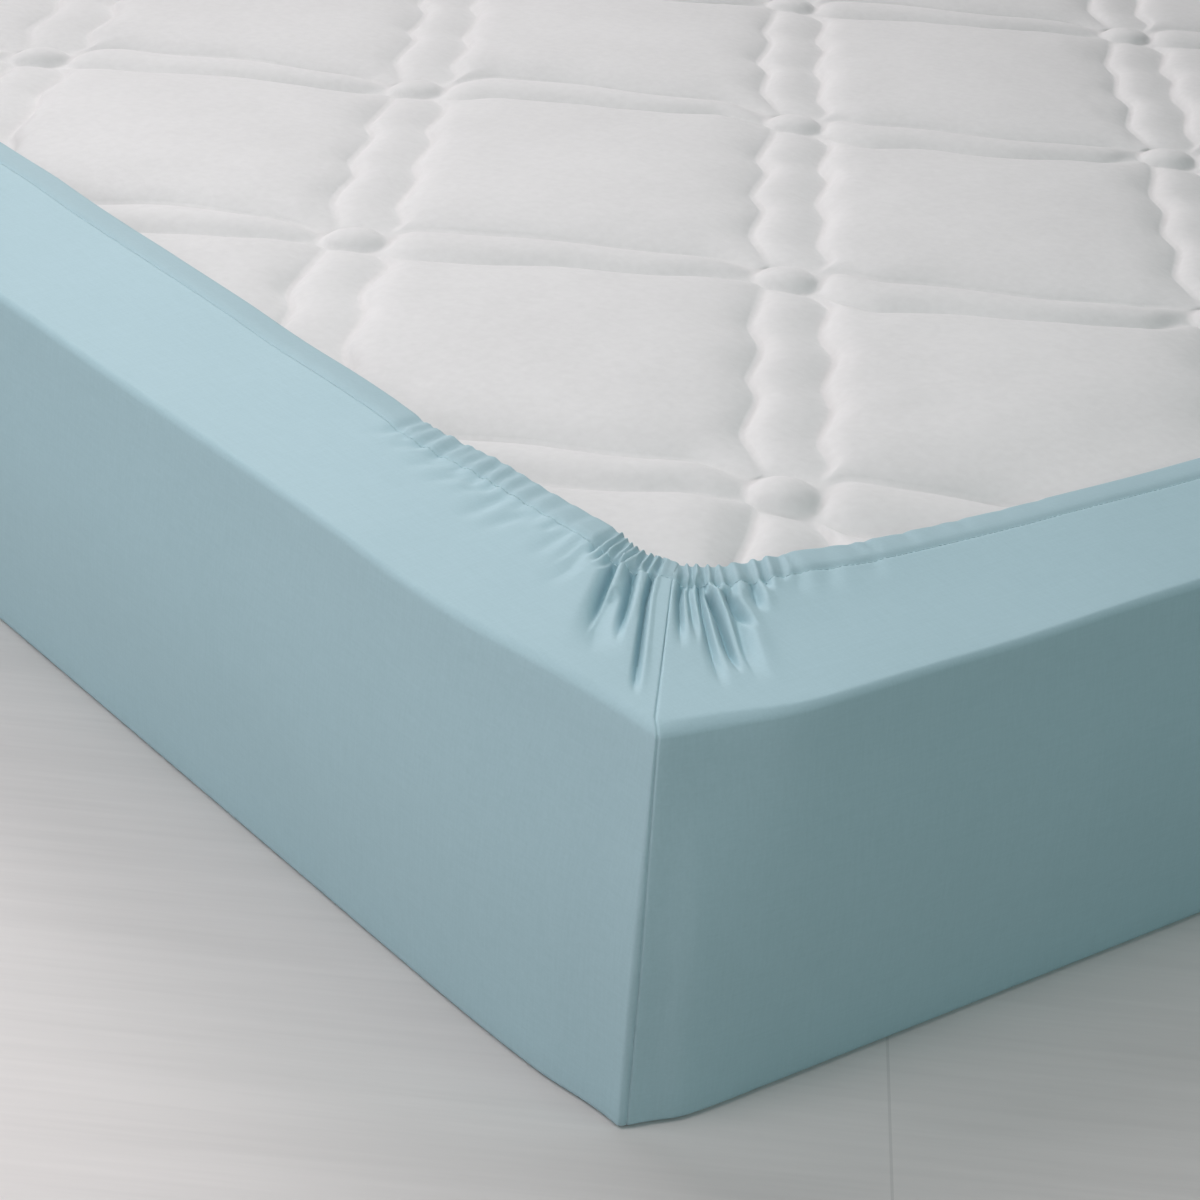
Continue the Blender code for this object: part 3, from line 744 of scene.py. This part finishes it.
def soften(points):
    """Faint unevenness of stretched cloth: longer on the walls and shorter on the flap."""
    plan, height = points[:, :2], points[:, 2]
    on_flap = smooth(*FLAP_WAVES_START, height)
    on_wall = smooth(0.0, FLOOR_CLEAR, height)
    on_wall = on_wall * (1 - smooth(*WALL_WAVES_END, (BED_HALVES - np.abs(plan)).min(1)))
    out = plan / np.linalg.norm(plan, axis=1, keepdims=True)
    points[:, :2] += out * (ripples(points, *WALL_WAVES) * on_wall)[:, None]
    points[:, 2] += ripples(points, *FLAP_WAVES) * on_flap
    return points


def build_sheet():
    """One layer of cloth: floor panel, walls, fold, flap and the casing turned under."""
    pieces = []
    for index, corner in enumerate(CORNERS):
        rings, stitch_number = corner_rings(corner)
        grid = np.array([np.column_stack([world_ring(corner, ring), ring.crease_shade]) for ring in rings])
        pieces.append(grid[:, :-1] if index % 2 == 0 else grid[:, :0:-1])
    grid = np.concatenate(pieces, axis=1)
    rings, columns = grid.shape[:2]
    points = soften(grid[:, :, :3].reshape(-1, 3))
    points[:columns, 2] = 0.0
    numbers = np.arange(rings * columns).reshape(rings, columns)
    quads = grid_quads(numbers, np.roll(numbers, -1, axis=1))
    bm = bmesh.new()
    # Vertex values for the casing's darker tone and for the painted shade in creases
    for name in ("layers", "crease_shade"):
        bm.verts.layers.float.new(name)
    layers, crease_shade = bm.verts.layers.float["layers"], bm.verts.layers.float["crease_shade"]
    verts = [bm.verts.new(p) for p in points]
    for quad in quads:
        bm.faces.new([verts[n] for n in quad])
    for n, vert in enumerate(verts):
        ring, column = divmod(n, columns)
        # The casing's darker tone, partly painted shade
        vert[layers] = smooth(*LAYERS_AND_SHADE_OVER, ring - stitch_number)
        # The painted shade down in a crease
        vert[crease_shade] = grid[ring, column, 3]
    panel = bm.faces.new(verts[:columns][::-1])
    bmesh.ops.triangulate(bm, faces=[panel], ngon_method="BEAUTY")
    sheet = add_mesh("sheet_cloth", bm, cotton_material())
    return sheet, points.reshape(rings, columns, 3)[stitch_number]


def build_stitches(line):
    """Short stitches along the casing's stitch line, each a small bent thread."""
    line = np.concatenate([line, line[:1]])
    way = np.concatenate([[0.0], np.cumsum(np.linalg.norm(np.diff(line, axis=0), axis=1))])
    count = int(way[-1] / STITCH_STEP)

    def spot_at(distance):
        return Vector([np.interp(distance, way, line[:, k]) for k in range(3)])

    bm = bmesh.new()
    for n in range(count):
        middle = way[-1] * (n + 0.5) / count
        start, centre, end = (spot_at(middle + s * STITCH_LENGTH / 2) for s in (-1, 0, 1))
        forward = (end - start).normalized()
        aside = forward.cross(Vector((0, 0, 1))).normalized()
        up = aside.cross(forward)
        rings = []
        for s, full in STITCH_SHAPE:
            lift = STITCH_BEND * full + THREAD * STITCH_LIFT
            spot = centre + forward * (s * STITCH_LENGTH / 2) + up * lift
            radius = THREAD * mix(STITCH_END, 1.0, full)
            ring = []
            for k in range(STITCH_SIDES):
                turn = 2 * pi * k / STITCH_SIDES
                ring.append(bm.verts.new(spot + (aside * cos(turn) + up * sin(turn)) * radius))
            rings.append(ring)
        for one, other in zip(rings, rings[1:]):
            for k in range(STITCH_SIDES):
                following = (k + 1) % STITCH_SIDES
                bm.faces.new((one[k], one[following], other[following], other[k]))
        bm.faces.new(rings[0][::-1])
        bm.faces.new(rings[-1])
    bmesh.ops.recalc_face_normals(bm, faces=bm.faces)
    return add_mesh("hem_stitches", bm, thread_material())


# ---------------- mattress


def quilt_stations(cell, grades, reach):
    """Lattice places from -reach to reach cells, dense on the bands and wider on the panels."""
    half = graded_ways(cell / 2, grades)
    one = np.concatenate([-half[:0:-1], half[:-1]])
    cells = np.arange(-reach, reach + 1) * cell
    return (cells[:, None] + one[None, :]).ravel()


def tooth(along):
    """Sawtooth sideways shift of a column band's two stitch lines."""
    phase = (-along * TEETH_PER_CELL / CELL_ALONG - TOOTH_PHASE) % 1.0
    ramp = np.where(phase < 1 - TOOTH_RETURN, phase / (1 - TOOTH_RETURN), (1 - phase) / TOOTH_RETURN)
    return -TOOTH_DEPTH * (smooth(0.0, 1.0, ramp) * 0.5 + ramp * 0.5 - 0.5)


def valley(offset):
    """1 on a column's stitched line, falling off steeply on its positive side."""
    run = np.where(offset > 0, STEEP_RUN, GENTLE_RUN)
    return np.exp(-np.abs(offset) / run)


def near_line(offset, half):
    """How much of a shift of a band's stitched lines a place takes: none mid-band or far off."""
    away = np.abs(offset)
    return np.where(away < half, away / half, 1 - smooth(half, WARP_ENDS, away))


def narrowing(past, half):
    """How far a band's edge draws in near the band that it meets."""
    return END_NARROWS * half * bell(past - END_AT, END_RUN) * smooth(*END_OVER, past)


def lattice_plan(across, along):
    return QUILT_START + across[:, None] * ACROSS_AXIS + along[:, None] * ALONG_AXIS


def quilt_plan(across, along):
    """Plan places of lattice places: columns toothed, rows swaying, and bands narrowed."""
    column, row = wrap(across, CELL_ACROSS), wrap(along, CELL_ALONG)
    straight = lattice_plan(across, along)
    teeth = tooth(along) * (1 + ripples(straight, TOOTH_WAVES))
    teeth = teeth * (1 - smooth(COLUMN_HALF, WARP_ENDS, np.abs(column)))
    sway = ROW_SWAY * np.sin(2 * pi * across / ROW_SWAY_LENGTH) + ripples(straight, SWAY_WAVES)
    past_row, past_column = np.abs(row) - ROW_HALF, np.abs(column) - COLUMN_HALF
    panel = CELL_ACROSS - 2 * COLUMN_HALF
    cell_share = np.clip((across % CELL_ACROSS - COLUMN_HALF) / panel, 0.0, 1.0)
    grown = mix(ROW_WIDE, ROW_NARROW, cell_share) - ROW_HALF + ripples(straight, ROW_WAVES)
    shift = np.zeros(len(across))
    for (cell, number), (start, end) in ROW_SHIFTS.items():
        here = (np.floor(across / CELL_ACROSS) == cell) & (np.round(along / CELL_ALONG) == number)
        shift[here] = mix(start, end, cell_share[here])
    grown = grown * smooth(*ROW_WIDENS_OVER, np.abs(column))
    shift = shift * smooth(*ROW_SHIFTS_OVER, np.abs(column))
    beyond = 1 - smooth(ROW_HALF, ROW_WARP_ENDS, np.abs(row))
    moved = (shift + np.clip(row / ROW_HALF, -1.0, 1.0) * grown) * beyond
    column_in = narrowing(past_row, COLUMN_HALF) * near_line(column, COLUMN_HALF) * np.sign(column)
    row_in = narrowing(past_column, ROW_HALF) * near_line(row, ROW_HALF) * np.sign(row)
    across = across + teeth - ripples(straight, WANDER_WAVES) - column_in
    return lattice_plan(across, along - sway - row_in + moved)


def wrap(place, cell):
    """A lattice place as its offset from the nearest band's middle."""
    return (place + cell / 2) % cell - cell / 2


def quilt_heights(across, along, plan):
    """Heights of the mattress's face at lattice places that lie at these plan places."""
    column, row = wrap(across, CELL_ACROSS), wrap(along, CELL_ALONG)
    columns = (1 - valley(column + COLUMN_HALF)) * (1 - valley(column - COLUMN_HALF))
    roll = ROW_FULL * np.cos(np.minimum(np.abs(row) / ROW_HALF, 1.0) * pi / 2) ** ROW_ROUNDNESS
    run = np.where(row > 0, ROW_FAR_RUN, ROW_NEAR_RUN)
    past = np.maximum(np.abs(row) - ROW_HALF, 0.0)
    rows = np.where(np.abs(row) < ROW_HALF, roll, 1 - np.exp(-past / run))
    from_middle = np.hypot(column / BUTTON_ACROSS, row / BUTTON_ALONG)
    button = BUTTON_FULL * (1 - np.exp(-np.maximum(1 - from_middle, 0.0) / BUTTON_RUN))
    crossing = (np.abs(column) < COLUMN_HALF) & (np.abs(row) < ROW_HALF)
    full = np.where(crossing, button, columns * rows)
    on_column = 1 - smooth(*BAND_EDGE, np.abs(column) / COLUMN_HALF)
    on_row = 1 - smooth(*BAND_EDGE, np.abs(row) / ROW_HALF)
    on_band = np.maximum(on_column, on_row)
    crown = np.sin(pi * np.abs(column) / CELL_ACROSS) * np.sin(pi * np.abs(row) / CELL_ALONG)
    sides = BED_HALVES - np.abs(plan)
    side = sides.min(1)
    lift = HEM_RISE * smooth(*HEM_RISE_OVER, side) + FACE_RISE * smooth(*FACE_RISE_OVER, side)
    sunk = bell(np.linalg.norm(sides - SINK_AT, axis=1), SINK_RUN)
    lift -= CORNER_SINK * sunk * (1 - smooth(*SINK_ENDS, side))
    clear = smooth(*QUILT_STARTS, side)
    depth = QUILT_DEPTH * clear * (1 + ripples(plan, DEPTH_WAVES))
    patches = smooth(*PATCH_EDGE, ripples(plan, PATCHES))
    puckers = ripples(plan, PUCKERS) + ripples(plan, FINE_PUCKERS) * (1 + PATCH_GROWS * patches)
    panel = (PANEL_CROWN * crown * clear + puckers) * (1 - on_band) - BAND_DROP * on_band
    return FACE_Z + lift + panel - depth * (1 - full)


def rounded_side(point, inset, radius):
    """A point of the clipped face's rectangle, moved out to a rounded rectangle of this inset."""
    place = np.array(point.xy) * (BED_HALVES - inset) / (BED_HALVES - FACE_CLIP)
    centre = BED_HALVES - inset - radius
    away = np.abs(place) - centre
    if away.min() > 0:
        place = np.sign(place) * (centre + away * radius / np.linalg.norm(away))
    return place


def build_mattress():
    """The quilted face on a grid in line with its bands, closed by plain sides and a bottom."""
    cells = int(np.linalg.norm(BED_HALVES) / CELL_ACROSS) + SPARE_CELLS
    across = quilt_stations(CELL_ACROSS, QUILT_GRADES_ACROSS, cells)
    along = quilt_stations(CELL_ALONG, QUILT_GRADES_ALONG, cells)
    a, b = (places.ravel() for places in np.meshgrid(across, along, indexing="ij"))
    plan = quilt_plan(a, b)
    near = (np.abs(plan) < BED_HALVES - FACE_CLIP + FACE_SPARE).all(1)
    numbers = np.arange(a.size).reshape(len(across), len(along))
    quads = grid_quads(numbers[:, :-1], numbers[:, 1:])
    quads = quads[near[quads].all(1)]
    used, quads = np.unique(quads, return_inverse=True)
    quads = quads.reshape(-1, 4)
    points = np.column_stack([plan[used], quilt_heights(a[used], b[used], plan[used])])
    bm = bmesh.new()
    verts = [bm.verts.new(p) for p in points]
    for quad in quads:
        bm.faces.new([verts[n] for n in quad])
    for axis, half in ((Vector((1, 0, 0)), BED_W / 2), (Vector((0, 1, 0)), BED_L / 2)):
        for sign in (-1, 1):
            geometry = bm.verts[:] + bm.edges[:] + bm.faces[:]
            place, out = axis * (sign * (half - FACE_CLIP)), axis * sign
            cut = {"plane_co": place, "plane_no": out, "clear_outer": True}
            bmesh.ops.bisect_plane(bm, geom=geometry, dist=1e-5, **cut)
    bmesh.ops.recalc_face_normals(bm, faces=bm.faces)
    if sum(face.normal.z for face in bm.faces) < 0:
        bmesh.ops.reverse_faces(bm, faces=bm.faces)
    rim = [e for e in bm.edges if e.is_boundary]
    starts = {v: v.co.copy() for e in rim for v in e.verts}
    for inset, height, corner_round in MATTRESS_SIDES:
        made = bmesh.ops.extrude_edge_only(bm, edges=rim)["geom"]
        rim = [g for g in made if isinstance(g, bmesh.types.BMEdge) and g.is_boundary]
        moved = {}
        for v in (g for g in made if isinstance(g, bmesh.types.BMVert)):
            start = next(starts[e.other_vert(v)] for e in v.link_edges if e.other_vert(v) in starts)
            moved[v] = start
            v.co = (*rounded_side(start, inset, corner_round), height)
        starts = moved
    made = bmesh.ops.contextual_create(bm, geom=rim)
    bmesh.ops.triangulate(bm, faces=made["faces"])
    bmesh.ops.recalc_face_normals(bm, faces=bm.faces)
    return add_mesh("mattress_quilted", bm, knit_material())


# ---------------- materials


class Nodes:
    """Adds nodes to a new material, and links them by socket."""

    def __init__(self, name):
        self.material = bpy.data.materials.new(name)
        self.material.use_nodes = True
        self.tree = self.material.node_tree
        self.shader = self.tree.nodes["Principled BSDF"]
        self.place = self.add("ShaderNodeTexCoord").outputs["Object"]

    def add(self, kind, settings=(), **values):
        node = self.tree.nodes.new(kind)
        for key, value in dict(settings).items():
            setattr(node, key, value)
        for key, value in values.items():
            self.put(node.inputs[key.replace("_", " ")], value)
        return node

    def put(self, socket, value):
        if isinstance(value, bpy.types.NodeSocket):
            self.tree.links.new(value, socket)
        else:
            socket.default_value = value

    def set(self, **values):
        for key, value in values.items():
            self.put(self.shader.inputs[key.replace("_", " ")], value)

    def noise(self, scale, detail=3.0, stretch=(1.0, 1.0, 1.0), place=None):
        """Noise in object space or at another place, stretched along axes."""
        mapping = self.add("ShaderNodeMapping", Vector=place or self.place, Scale=stretch)
        stretched = mapping.outputs["Vector"]
        noise = self.add("ShaderNodeTexNoise", Vector=stretched, Scale=scale, Detail=detail)
        return noise.outputs["Fac"]

    def math(self, operation, first, second, kind="ShaderNodeMath"):
        node = self.add(kind, {"operation": operation})
        self.put(node.inputs[0], first)
        self.put(node.inputs[1], second)
        return node.outputs[0]

    def scaled(self, colour, factor):
        node = self.add("ShaderNodeVectorMath", {"operation": "SCALE"}, Scale=factor)
        self.put(node.inputs[0], colour)
        return node.outputs["Vector"]

    def bump(self, height, strength, distance):
        node = self.add("ShaderNodeBump", Strength=strength, Distance=distance, Height=height)
        self.set(Normal=node.outputs["Normal"])

    def ramp(self, factor, low, high, low_colour, high_colour):
        node = self.add("ShaderNodeValToRGB", Fac=factor)
        ends = node.color_ramp.elements
        ends[0].position, ends[1].position = low, high
        ends[0].color, ends[1].color = (*low_colour, 1.0), (*high_colour, 1.0)
        return node.outputs["Color"]


# Linear colours
COTTON_DARK = (0.413, 0.602, 0.655)
COTTON_LIGHT = (0.449, 0.641, 0.698)
THREAD_COLOUR = (0.480, 0.680, 0.735)
KNIT_DARK = (0.735, 0.747, 0.740)
KNIT_LIGHT = (0.790, 0.803, 0.796)
FLOOR_COLOUR = (0.748, 0.722, 0.701)

# The cotton's colour is painted darker on the casing, partly for its layers and partly as painted shade,
# and darker still down in a crease as painted shade
LAYERS_AND_SHADE_DARKEN = 0.10
CREASE_SHADE_TINT = (0.58, 0.69, 0.71)

# The floor's boards: their turn, and where a joint crosses them
BOARD_TURN = radians(41)
JOINT_AT = 0.2503
JOINT_HALF = 0.0007
JOINT_DARKEN = 0.14

# The cotton's threads to the metre and its weave's height, and the scale of the knit's fibres
COTTON_THREADS = 2600.0
COTTON_WEAVE = 0.00016
KNIT_SCALE = 900.0


def cotton_material():
    """Plain-woven cotton: slubs along the threads, a fine weave and a soft sheen, with painted shade in
    its creases and, partly, on its casing.
    """
    m = Nodes("sheet_cotton_finish")
    warp = m.noise(55.0, stretch=(1.0, 14.0, 14.0))
    weft = m.noise(55.0, stretch=(14.0, 1.0, 14.0))
    rise = m.noise(55.0, stretch=(14.0, 14.0, 1.0))
    slubs = m.math("ADD", m.math("ADD", warp, weft), rise)
    clouds = m.noise(5.0, detail=2.0)
    tone = m.math("ADD", m.math("MULTIPLY", slubs, 0.26), m.math("MULTIPLY", clouds, 0.22))
    fine = m.noise(COTTON_THREADS / 3, detail=2.0)
    layers = m.add("ShaderNodeAttribute", {"attribute_name": "layers"}).outputs["Fac"]
    crease_shade = m.add("ShaderNodeAttribute", {"attribute_name": "crease_shade"}).outputs["Fac"]
    # The casing is painted darker, partly for its layers of cloth and partly as painted shade
    shade = m.math("SUBTRACT", 1.0, m.math("MULTIPLY", layers, LAYERS_AND_SHADE_DARKEN))
    cloth = m.scaled(m.ramp(tone, 0.38, 0.62, COTTON_DARK, COTTON_LIGHT), shade)
    # Painted shade: the cloth is tinted darker down in a crease
    tint = m.ramp(crease_shade, 0.0, 1.0, (1.0, 1.0, 1.0), CREASE_SHADE_TINT)
    m.set(Base_Color=m.math("MULTIPLY", cloth, tint, "ShaderNodeVectorMath"))
    m.bump(m.math("ADD", m.math("MULTIPLY", slubs, 0.5), fine), 0.18, COTTON_WEAVE)
    m.set(Roughness=0.72, Specular_IOR_Level=0.20)
    m.set(Sheen_Weight=0.10, Sheen_Roughness=0.45, Sheen_Tint=(0.92, 0.97, 1.0, 1.0))
    return m.material


def thread_material():
    m = Nodes("hem_thread_finish")
    twist = m.noise(1500.0, detail=1.0)
    darker = tuple(c * 0.9 for c in THREAD_COLOUR)
    m.set(Base_Color=m.ramp(twist, 0.3, 0.7, darker, THREAD_COLOUR))
    m.bump(twist, 0.3, 0.0001)
    m.set(Roughness=0.55, Sheen_Weight=0.2)
    return m.material


def knit_material():
    """Brushed white knit: faint ribs, loose fibres and soft patches."""
    m = Nodes("mattress_knit_finish")
    fibres = m.noise(KNIT_SCALE, detail=4.0)
    pile = m.noise(190.0, detail=4.0)
    patches = m.noise(9.0)
    tone = m.math("ADD", m.math("MULTIPLY", pile, 0.5), m.math("MULTIPLY", patches, 0.5))
    m.set(Base_Color=m.ramp(tone, 0.35, 0.65, KNIT_DARK, KNIT_LIGHT))
    m.bump(m.math("ADD", m.math("MULTIPLY", fibres, 0.35), pile), 0.22, 0.0006)
    m.set(Roughness=0.9, Specular_IOR_Level=0.2)
    m.set(Sheen_Weight=0.25, Sheen_Roughness=0.6)
    return m.material


def floor_material():
    """Pale boards: long faint grain along them and one thin joint across."""
    m = Nodes("floor_finish")
    turned = m.add("ShaderNodeVectorRotate", {"rotation_type": "Z_AXIS"}, Angle=BOARD_TURN)
    m.put(turned.inputs["Vector"], m.place)
    boards = turned.outputs["Vector"]
    grain = m.noise(4.0, detail=5.0, stretch=(0.7, 9.0, 1.0), place=boards)
    streaks = m.noise(9.0, stretch=(1.0, 22.0, 1.0), place=boards)
    tone = m.math("ADD", m.math("MULTIPLY", grain, 0.55), m.math("MULTIPLY", streaks, 0.45))
    along = m.add("ShaderNodeSeparateXYZ", Vector=boards).outputs["X"]
    off_joint = m.math("ABSOLUTE", m.math("SUBTRACT", along, JOINT_AT), 0.0)
    joint = m.math("LESS_THAN", off_joint, JOINT_HALF)
    shade = m.math("SUBTRACT", 1.0, m.math("MULTIPLY", joint, JOINT_DARKEN))
    low, high = (tuple(c * k for c in FLOOR_COLOUR) for k in (0.965, 1.03))
    m.set(Base_Color=m.scaled(m.ramp(tone, 0.38, 0.62, low, high), shade), Roughness=0.6)
    m.bump(tone, 0.10, 0.0005)
    return m.material


# ---------------- setting


def build_floor():
    bm = bmesh.new()
    place = Matrix.Translation((0.0, 0.0, FLOOR_Z))
    bmesh.ops.create_grid(bm, x_segments=1, y_segments=1, size=FLOOR_HALF, matrix=place)
    return add_mesh("floor", bm, floor_material())


def add_camera():
    """The photograph's view: looking down at the near corner, tilted a little."""
    data = bpy.data.cameras.new("camera")
    data.sensor_width = SENSOR
    data.lens = LENS
    data.clip_start = CLIP_START
    camera = add_object("camera", data)
    yaw = Matrix.Rotation(CAMERA_YAW - pi / 2, 4, "Z")
    pitch = Matrix.Rotation(pi / 2 - CAMERA_DOWN, 4, "X")
    roll = Matrix.Rotation(CAMERA_ROLL, 4, "Z")
    camera.matrix_world = Matrix.Translation(CAMERA_PLACE) @ yaw @ pitch @ roll
    bpy.context.scene.camera = camera


def add_lamp(lamp):
    """A round area light that points at the lit point."""
    data = bpy.data.lights.new(lamp.name, "AREA")
    data.shape = "DISK"
    data.size = lamp.size
    data.energy = lamp.power
    data.color = lamp.colour
    light = add_object(lamp.name, data)
    azimuth, elevation = radians(lamp.azimuth), radians(lamp.elevation)
    level = cos(elevation)
    away = Vector((cos(azimuth) * level, sin(azimuth) * level, sin(elevation)))
    light.location = LIT_POINT + away * lamp.distance
    light.rotation_euler = away.to_track_quat("Z", "Y").to_euler()


def add_lights():
    for lamp in LAMPS:
        add_lamp(lamp)
    world = bpy.data.worlds.new("studio")
    bpy.context.scene.world = world
    world.use_nodes = True
    background = world.node_tree.nodes["Background"]
    background.inputs["Color"].default_value = (1.0, 1.0, 1.0, 1.0)
    background.inputs["Strength"].default_value = SURROUND
    bpy.context.scene.view_settings.view_transform = "Standard"


def main():
    """Builds and declares every piece, then the floor, camera and lights."""
    mattress = build_mattress()
    sheet, stitch_line = build_sheet()
    stitches = build_stitches(stitch_line)
    for piece in (mattress, sheet, stitches):
        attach(piece, "root")
    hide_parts("mattress")
    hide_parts("fitted_sheet")
    build_floor()
    add_camera()
    add_lights()


main()
